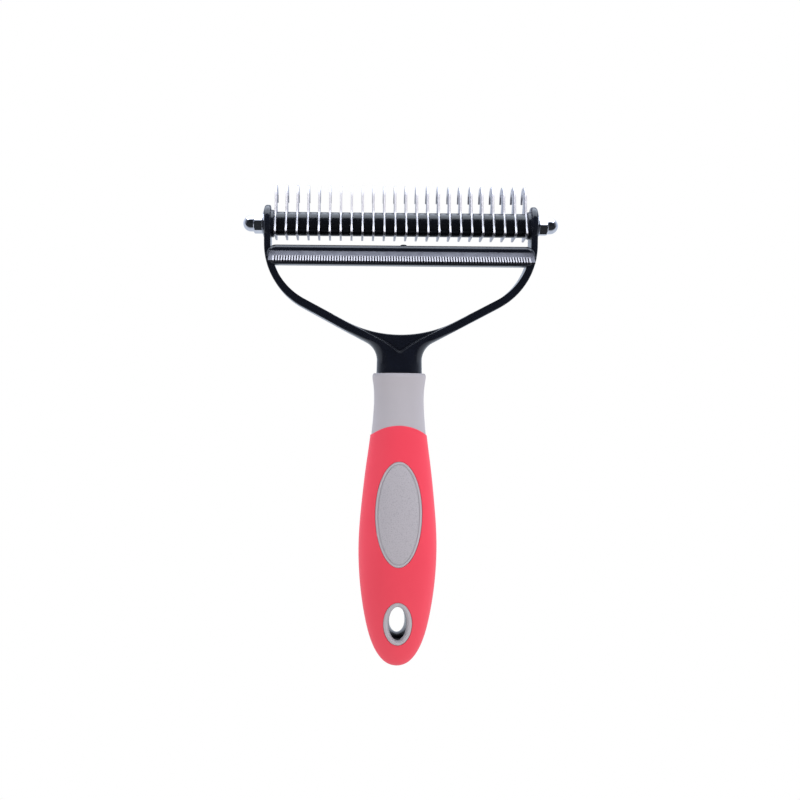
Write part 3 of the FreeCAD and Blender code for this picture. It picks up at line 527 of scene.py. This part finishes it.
def plateDepth(points, outer, inner):
    # half depth of the plate: flat, less its rounded edges, less the sunken web, and never
    # more than the oval neck
    z = points[..., 1]
    gapOut, run = nearest(points, outer)
    gapIn, _ = nearest(points, inner)
    slope = np.clip((fork["tongueTop"] - z) / (fork["tongueTop"] - fork["tongueKnee"]), 0, 1)
    flat = fork["depth"] + 0.4 * slope
    ramp = np.clip((fork["tongueKnee"] - z) / (fork["tongueKnee"] - fork["tongueEnd"]), 0, 1)
    flat = flat + 0.75 * np.sin(ramp * math.pi / 2)
    # a quarter of an oval rises from the outline: small on the arms, the whole neck below
    edgeZ = -np.interp(run, runLength(outer), outer[:, 1])
    parts = ("floors", "rises", "reaches")
    floor, rise, reach = (np.interp(edgeZ, fork["edgeDrops"], fork[part]) for part in parts)
    side = floor + rise * np.sqrt(np.clip(1 - (1 - np.clip(gapOut / reach, 0, 1)) ** 2, 0, 1))
    above = aboveWeb(points)
    web = fork["webDepth"] * ease(above, -0.05, 0.4)
    bead = 0.16 * np.exp(-((above + 0.3) / 0.2) ** 2) * ease(47.0 - np.abs(points[..., 0]), 20, 28)
    rim = 0.6 * (1 - np.sqrt(1 - (1 - np.clip(gapIn / 0.6, 0, 1)) ** 2))
    top = flat - web + bead
    return np.clip(0.5 * (top + side - np.sqrt((top - side) ** 2 + 0.01)) - rim, 0, None)


def forkPlate():
    # sections run from the inner outline, or the middle line below the valley, to the outer
    # one. Their points crowd at the web's edge and at the outline
    outer = roundedPath(fork["outer"], fork["outerRounds"])
    arc = roundedPath(fork["inner"], fork["innerRounds"])
    arc = arc[arc[:, 0] >= 0]
    arc = np.concatenate([arc, [(0, arc[-1, 1])]])
    outerAt = betweenMarks(outer, fork["outerMarks"], fork["steps"])
    innerAt = betweenMarks(np.concatenate([arc, [(0, -62.5)]]), fork["innerMarks"], fork["steps"])
    even = np.linspace(0, 1, 500)[:, None]
    inWeb = aboveWeb(innerAt[:, None] * (1 - even) + outerAt[:, None] * even) > 0
    length = np.linalg.norm(outerAt - innerAt, axis=1)[:, None]
    cross = np.argmin(inWeb, axis=1)[:, None] / 499 * length
    room = np.clip(cross / 1.3, 0, 1)
    stepRows = np.array(fork["stepRows"])
    middleRows = cross + np.where(stepRows < 0, stepRows * room, stepRows)
    first = (0.5 - 0.5 * np.cos(math.pi * np.linspace(0, 1, 17)[:-1])) * middleRows[:, :1]
    last = middleRows[:, -1:] + np.sin(np.linspace(0, math.pi / 2, 40)[1:]) * (length - middleRows[:, -1:])
    across = (np.concatenate([first, middleRows, last], 1) / length)[..., None]
    plan = innerAt[:, None] * (1 - across) + outerAt[:, None] * across
    depth = plateDepth(plan, outer, arc)
    front = np.stack([plan[..., 0], -depth, rodZ + plan[..., 1]], -1)
    turned = front.transpose(1, 0, 2)
    onArc = int(np.argmax(innerAt[:, 0] < 1e-6)) + 1

    def wall(edge):
        return edge * np.array([1, 0, 1]) + edge * np.linspace(1, -1, 5)[None, :, None] * np.array([0, 1, 0])

    right = [front, front * np.array([1, -1, 1]), wall(front[:, -1:]), wall(front[:onArc, :1]),
             wall(turned[:, :1]), wall(turned[:, -1:])]
    return [(sheet, False) for sheet in right] + [(sheet * np.array([-1, 1, 1]), False) for sheet in right]


ear = {
    # (distance in from the outer face, radius): bore, washer seat, domed face, rim, boss
    "outline": [(0.4, 2.05), (0.4, 4.25), (0.24, 4.35), (0.3, 4.6), (0.58, 5.5), (0.8, 6.35),
                (0.98, 6.85), (1.28, 7.2), (1.62, 7.38), (2.1, 7.4), (2.75, 7.38), (3.1, 7.25),
                (3.3, 7.0), (3.4, 6.6), (3.4, 5.6), (3.55, 5.46), (4.45, 5.4), (4.6, 5.2),
                (4.6, 2.05), (0.4, 2.05)],
}


def earShell(side):
    outline = [(side * (forkHigh[0] - inset), radius) for inset, radius in ear["outline"]]
    return lathe(outline, 96), True


crossbar = {"top": 9.3, "bottom": 16.6, "backBottom": 15.0, "front": -2.6, "back": 5.1, "round": 0.9,
            "halfLength": 51.6}


def crossbarShell():
    # a rounded section carried from arm to arm, closed inside the arms
    c = crossbar
    corners = [(c["front"], -c["top"]), (c["back"], -c["top"]),
               (c["back"], -c["backBottom"]), (c["front"], -c["bottom"])]
    section = roundedPath(corners, [c["round"]] * 4, closed=True, gap=0.15)[:-1]
    middle = section.mean(0)
    end = c["halfLength"]
    rows = [(-end, 0)] + [(x, 1) for x in np.linspace(-1, 1, 9) * end] + [(end, 0)]
    x, size = np.array(rows).T[..., None]
    y, z = (middle + (section - middle) * size[..., None]).transpose(2, 0, 1)
    return np.stack([x + 0 * y, y, rodZ + z], -1), True


def holeWall():
    # the tang's bore through the handle. It narrows towards the middle plane, where the two
    # halves of the mould met, most of all along its bottom
    angle = np.arange(96) / 96 * 2 * math.pi
    rows = []
    for grow, shares in ((0.0, np.linspace(-1, 1, 17)), (1.3, np.linspace(1, -1, 3)), (0.0, [-1])):
        for share in shares:
            closer = (1 - share * share) * (grow == 0)
            x = (hangHole["halfWidth"] + grow - 0.42 * closer) * np.cos(angle)
            tall = np.where(angle > math.pi, 2.0, 0.25) * closer
            z = (hangHole["halfHeight"] + grow - tall) * np.sin(angle)
            half = flatness * np.sqrt(gripAt(z, 0) ** 2 - x ** 2) - 2.6
            rows.append(np.stack([x, half * share, z], -1))
    return np.array(rows), True


forkPiece = buildPiece("fork_black", forkPlate() + [earShell(1), earShell(-1), crossbarShell(), holeWall()],
                       blackAbs, sharp=80)
fitPiece(forkPiece, "frame", "black_plastic", "fork_frame")
print("fork made")


# ---- bar and toothed strip ---------------------------------------------------------------

barLow, barHigh = span("blade_bar")
bar = {
    "top": -9.1, "bottom": -16.8, "back": -2.5, "spineInset": 3.85,
    "corner": 3.45, "bevel": 1.15, "lowerBevel": 0.55, "edge": 0.18,
    "nub": (1.05, -5.2, 1.35, 0.62),          # x, y, half width and height of the gate mark on top
}


def barShell():
    # the bar's outline from the front, carried over its edges: each row moves it inwards and
    # back. The bevel is wide along the top and narrow along the bottom
    top, bottom, half = bar["top"], bar["bottom"], barHigh[0]
    corners = [(half, top), (half, bottom), (-half, bottom), (-half, top)]
    outline = roundedPath(corners, [bar["corner"]] * 4, closed=True)
    outline = atLength(outline, np.linspace(0, runLength(outline)[-1], 520)[:-1])
    ahead = np.roll(outline, -1, 0) - np.roll(outline, 1, 0)
    inward = np.stack([ahead[:, 1], -ahead[:, 0]], -1) / np.linalg.norm(ahead, axis=1)[:, None]
    front, back = barLow[1], bar["back"]
    high = ease(outline[:, 1], -14.4, -11.4)
    bevel = bar["lowerBevel"] * (1 - high) + bar["bevel"] * high
    r = bar["edge"]
    rows = []
    for share, y in ((30, back), (8, back), (1.5, back), (0.35, back), (0.0, back - 0.35), (0, front + 1.5)):
        rows.append((share + 0 * bevel, y + 0 * bevel))
    rows += [(0 * bevel, front + bevel + r), (bevel * 0.06, front + bevel * 0.94),
             (bevel * 0.5, front + bevel * 0.5), (bevel * 0.94, front + bevel * 0.06 + 0.01),
             (bevel + r, front + 0 * bevel),
             (bevel + 0.6, front + 0 * bevel), (30 + 0 * bevel, front + 0 * bevel)]
    sheets = []
    for inset, y in rows:
        spineX = np.clip(outline[:, 0], -half + bar["spineInset"], half - bar["spineInset"])
        spine = np.stack([spineX, np.full(len(outline), (top + bottom) / 2)], -1)
        reach = np.linalg.norm(spine - outline, axis=1)
        flat = outline + inward * np.minimum(inset, reach)[:, None]
        flat = np.where((inset > 3)[:, None], spine, flat)
        sheets.append(np.stack([flat[:, 0], y, rodZ + flat[:, 1]], -1))
    return np.array(sheets), True


def nubShell():
    # a low round button
    x, y, radius, height = bar["nub"]
    rows = np.array([(0, 1), (0.5, 0.96), (0.82, 0.75), (1, 0.3), (1, -0.6), (0, -0.6)])
    turn = np.arange(28) / 28 * 2 * math.pi
    size, rise = rows.T[..., None]
    return np.stack([x + size * radius * np.cos(turn), y + size * radius * np.sin(turn),
                     rodZ + bar["top"] + rise * height + 0 * turn], -1), True


barPiece = buildPiece("blade_bar_black", [barShell(), nubShell()], blackAbs, sharp=35)
fitPiece(barPiece, "frame", "black_plastic", "blade_bar")


def brightenTeeth(material, root, rowEnd):
    # the teeth row, below the root and within the row's ends, gets a brighter base colour than the rest of the
    # strip
    tree = material.node_tree
    shader = tree.nodes["Principled BSDF"]
    plain = shader.inputs["Base Color"].links[0].from_socket
    place = addNode(tree, "ShaderNodeTexCoord").outputs["Object"]
    place = addNode(tree, "ShaderNodeSeparateXYZ", {"Vector": place})
    low = addNode(tree, "ShaderNodeMath", {0: place.outputs["Z"], 1: root * mm}, operation="LESS_THAN")
    across = addNode(tree, "ShaderNodeMath", {0: place.outputs["X"]}, operation="ABSOLUTE")
    inRow = addNode(tree, "ShaderNodeMath", {0: across.outputs["Value"], 1: rowEnd * mm},
                    operation="LESS_THAN")
    teeth = addNode(tree, "ShaderNodeMath", {0: low.outputs["Value"], 1: inRow.outputs["Value"]},
                    operation="MULTIPLY")
    # a brighter base colour mixed in over the teeth row
    teethTone = addNode(tree, "ShaderNodeMix", {"Factor": teeth.outputs["Value"]}, data_type="RGBA")
    tree.links.new(plain, teethTone.inputs["A"])
    teethTone.inputs["B"].default_value = linear("#a9a4a6")
    link(tree, teethTone.outputs["Result"], shader, "Base Color")


def paintNode(name, material):
    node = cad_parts[name]
    node.data.materials.clear()
    node.data.materials.append(material)


brightenTeeth(stripSteel, rodZ - 13.75, 49.9)
paintNode("deshedding_strip", stripSteel)
paintNode("rake_rod", rodSteel)
print("bar and strip made")


# ---- rake: blades and spacers ------------------------------------------------------------

blade = {
    # corners of the stamped outline, across and up from the rod, each with its rounding
    "corners": [(-6.2, -4.6, 1.0), (-1.5, 4.6, 3.0), (0.3, 16.0, 5.2), (11.9, 16.0, 5.2), (12.9, 10.2, 0.15),
                (12.4, 10.2, 0.12), (10.9, 13.7, 1.9), (6.0, 13.7, 1.9), (5.9, 9.0, 3.0), (8.3, 4.4, 0.6),
                (6.4, -2.0, 3.0), (8.6, -5.6, 0.4), (1.0, -5.0, 3.0)],
    "edge": 0.13,
}


def bladeOutline():
    corners = np.array(blade["corners"])
    path = roundedPath(corners[:, :2], corners[:, 2], closed=True, gap=0.45)
    return atLength(path, np.linspace(0, runLength(path)[-1], 150)[:-1])


def bladeShell(low, high):
    # the outline carried through the sheet's thickness, pulled in a little at both faces
    outline = bladeOutline()
    ahead = np.roll(outline, -1, 0) - np.roll(outline, 1, 0)
    inward = np.stack([ahead[:, 1], -ahead[:, 0]], -1) / np.linalg.norm(ahead, axis=1)[:, None]
    e = blade["edge"]
    rows = [(low, e), (low + 0.3 * e, 0.3 * e), (low + e, 0)]
    rows += [(high - e, 0), (high - 0.3 * e, 0.3 * e), (high, e)]
    sheet = [np.stack([np.full(len(outline), x), outline[:, 0] + inward[:, 0] * inset,
                       rodZ + outline[:, 1] + inward[:, 1] * inset], -1) for x, inset in rows]
    count = len(outline)
    return np.array(sheet), True, [range(count), range(5 * count, 6 * count)]


def spacerShell(low, high):
    # a short tube with rounded ends, its bore on the rod
    r = 4.7
    edge = [(0, 2.05), (0, r - 0.4), (0.05, r - 0.16), (0.18, r - 0.04), (0.4, r)]
    profile = [(low + x, radius) for x, radius in edge]
    profile += [(high - x, radius) for x, radius in edge[::-1]] + profile[:1]
    return lathe(profile, 96), True


spacerPlay = 0.02                            # left free at each end of a spacer
bladePieces = []
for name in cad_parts:
    if name.startswith("rake_blade"):
        low, high = span(name)
        points, closed, caps = bladeShell(low[0], high[0])
        piece = buildPiece(name.replace("rake_blade", "blade"), [(points, closed)], bladeSteel, caps, sharp=40)
        fitPiece(piece, "rake", "blade_steel", name)
        bladePieces.append(piece)
    elif name.startswith("spacer"):
        low, high = span(name)
        shell = spacerShell(low[0] + spacerPlay, high[0] - spacerPlay)
        piece = buildPiece(name.replace("spacer", "ring"), [shell], spacerNylon, sharp=45)
        fitPiece(piece, "rake", "spacer_plastic", name)
print("rake made")


# ---- nuts and washers --------------------------------------------------------------------

nut = {"flats": 7.0, "hexLength": 3.3, "neckLength": 1.1, "dome": 3.15, "leftTurn": 12.5}


def nutShell(side, face):
    # rows from the seat outwards. The hexagon's radius follows its flats, cut by a cone at
    # its outer corners, then a short neck and half a ball
    steps = 180
    turn = np.arange(steps) / steps * 2 * math.pi
    offset = math.radians(nut["leftTurn"] if side < 0 else 0)
    part = math.pi / 3
    flats = nut["flats"] / 2 / np.cos((turn - offset + part / 2) % part - part / 2)
    length = nut["hexLength"]
    along = np.array([0, 0, 0.12, 0.5] + list(np.linspace(1.2, length, 14)))
    cone = np.interp(along, [0, 0.12, length - 0.55, length], [nut["flats"] / 2 + 0.25, 4.2, 4.2, 3.35])
    hexRows = np.minimum(flats, cone[:, None])
    hexRows[0] = 2.05
    arc = np.linspace(0, math.pi / 2, 22)
    neckEnd = length + nut["neckLength"]
    tail = [(length, nut["dome"] + 0.1), (length + 0.12, nut["dome"]), (neckEnd, nut["dome"])]
    tail += [(neckEnd + nut["dome"] * math.sin(a), nut["dome"] * math.cos(a)) for a in arc[1:]]
    tail = np.array(tail)
    rows = np.concatenate([hexRows, tail[:, 1:] + 0 * turn])
    x = side * (face + np.concatenate([along, tail[:, 0]]))[:, None]
    outside = np.stack([x + 0 * turn, rows * np.sin(turn), rodZ + rows * np.cos(turn)], -1)
    bore = lathe([(side * face, 2.05), (side * (face + 5.6), 2.05), (side * (face + 5.6), 0)], steps)
    return [(outside, True), (bore, True)]


def washerShell(low, high):
    r, e = 4.0, 0.1
    outline = [(low, 2.15), (low, r - e), (low + e, r), (high - e, r), (high, r - e), (high, 2.15)]
    return lathe(outline + outline[:1], 72), True


for side, name in ((-1, "left"), (1, "right")):
    low, high = span(f"cap_nut_{name}")
    face = min(abs(low[0]), abs(high[0]))
    piece = buildPiece(f"dome_nut_{name}", nutShell(side, face), nickelPlate, sharp=28)
    fitPiece(piece, f"{name}_nut", "nut_plating", f"cap_nut_{name}")
    low, high = span(f"washer_{name}")
    piece = buildPiece(f"flat_washer_{name}", [washerShell(low[0], high[0])], washerZinc, sharp=30)
    fitPiece(piece, "frame", "washer_steel", f"washer_{name}")
print("nuts and washers made")


# ---- studio: camera, floor and light -----------------------------------------------------

camera = {"side": -20.0, "away": 500.0, "drop": 69.5, "aimX": 0.45, "lens": 56.85, "roll": -0.55}


def placeCamera():
    # looks straight along Y from the left, and a small shift brings the comb to the middle
    data = bpy.data.cameras.new("camera")
    data.lens, data.sensor_width = camera["lens"], 36
    data.shift_x = (camera["aimX"] - camera["side"]) / camera["away"] * data.lens / data.sensor_width
    data.clip_start, data.clip_end = 0.01, 20
    body = bpy.data.objects.new("camera", data)
    bpy.context.scene.collection.objects.link(body)
    body.location = (camera["side"] * mm, -camera["away"] * mm, (rodZ - camera["drop"]) * mm)
    body.rotation_euler = (math.pi / 2, math.radians(camera["roll"]), 0)
    bpy.context.scene.camera = body


def softbox(name, place, aim, width, height, watts, colour, mirrored=True):
    light = bpy.data.lights.new(name, "AREA")
    light.shape, light.size, light.size_y = "RECTANGLE", width, height
    light.energy, light.color = watts, colour
    lamp = bpy.data.objects.new(name, light)
    bpy.context.scene.collection.objects.link(lamp)
    lamp.location = place
    way = np.array(aim, float) - np.array(place)
    flat = math.hypot(way[0], way[1])
    lamp.rotation_euler = (math.atan2(flat, -way[2]), 0, math.atan2(-way[0], way[1]))
    lamp.visible_camera = False
    lamp.visible_glossy = mirrored
    return lamp


def makeFloor():
    # a lit white table under the handle's tip, with no shadow on it
    radius, height = 3.0, cadLow.z - 0.0004
    turn = np.arange(96) / 96 * 2 * math.pi
    rings = np.array([0, 0.1, 0.3, 0.8, radius])[:, None]
    points = np.stack([rings * np.cos(turn), rings * np.sin(turn), height + 0 * rings * turn], -1) / mm
    material = bpy.data.materials.new("lit_white_table")
    material.use_nodes = True
    tree = material.node_tree
    place = addNode(tree, "ShaderNodeTexCoord").outputs["Object"]
    glow = addNode(tree, "ShaderNodeEmission", {"Color": (1, 1, 1, 1), "Strength": 1.0})
    # in reflections the floor is dim on the camera's side, as under a dark flag
    depthWay = addNode(tree, "ShaderNodeSeparateXYZ", {"Vector": place})
    flag = addNode(tree, "ShaderNodeMapRange", {"Value": depthWay.outputs["Y"], "From Min": -0.12,
                   "From Max": 0.02, "To Min": 0.03, "To Max": 0.75}, interpolation_type="SMOOTHSTEP")
    mirrored = addNode(tree, "ShaderNodeEmission",
                       {"Color": (0.8, 0.88, 1, 1), "Strength": flag.outputs["Result"]})
    seen = addNode(tree, "ShaderNodeLightPath")
    whole = addNode(tree, "ShaderNodeMixShader", {0: seen.outputs["Is Glossy Ray"],
                    1: glow.outputs["Emission"], 2: mirrored.outputs["Emission"]})
    tree.links.new(whole.outputs["Shader"], tree.nodes["Material Output"].inputs["Surface"])
    floor = buildPiece("floor", [(points, True)], material)


def makeSurround():
    # white behind the object. In reflections the room is dim round the camera's side and
    # bright, a little blue, at the sides, below and behind
    world = bpy.data.worlds.new("studio")
    world.use_nodes = True
    tree = world.node_tree
    place = addNode(tree, "ShaderNodeTexCoord").outputs["Generated"]
    way = addNode(tree, "ShaderNodeSeparateXYZ", {"Vector": place})
    level = addNode(tree, "ShaderNodeMapRange", {"Value": way.outputs["Y"], "From Min": -1, "From Max": 1})
    room = addNode(tree, "ShaderNodeValToRGB", {"Fac": level.outputs["Result"]})
    stops = [(0.0, 0.02), (0.24, 0.03), (0.5, 0.3), (0.66, 0.8), (1.0, 0.95)]
    ramp = room.color_ramp
    while len(ramp.elements) < len(stops):
        ramp.elements.new(0.5)
    for element, (spot, grey) in zip(ramp.elements, stops):
        element.position, element.color = spot, (grey * 0.74, grey * 0.83, grey, 1)
    seen = addNode(tree, "ShaderNodeLightPath")
    mixed = addNode(tree, "ShaderNodeMix", {"Factor": seen.outputs["Is Camera Ray"]}, data_type="RGBA")
    mixed.inputs["B"].default_value = (1, 1, 1, 1)
    tree.links.new(room.outputs["Color"], mixed.inputs["A"])
    tree.links.new(mixed.outputs["Result"], tree.nodes["Background"].inputs["Color"])
    bpy.context.scene.world = world


placeCamera()
makeFloor()
makeSurround()
cool = (0.8, 0.88, 1.0)
softbox("top_box", (0, 0.04, 0.66), (0, 0.04, 0), 1.1, 0.72, 8.5, cool)
softbox("right_box", (0.62, -0.42, 0.16), (0, 0, 0.07), 0.4, 0.6, 4.6, (0.97, 0.97, 1.0), mirrored=False)
softbox("left_box", (-0.66, -0.4, 0.16), (0, 0, 0.07), 0.3, 0.6, 3.0, (0.97, 0.97, 1.0), mirrored=False)
bladePanel = softbox("blade_panel", (0, -0.55, 0.56), (0, 0, 0.16), 1.2, 0.4, 3.2, (0.95, 0.96, 1.0))
rakeOnly = bpy.data.collections.new("lit_blades")
for piece in bladePieces:
    rakeOnly.objects.link(piece)
bladePanel.light_linking.receiver_collection = rakeOnly
bpy.context.scene.view_settings.view_transform = "Standard"
print("studio made")
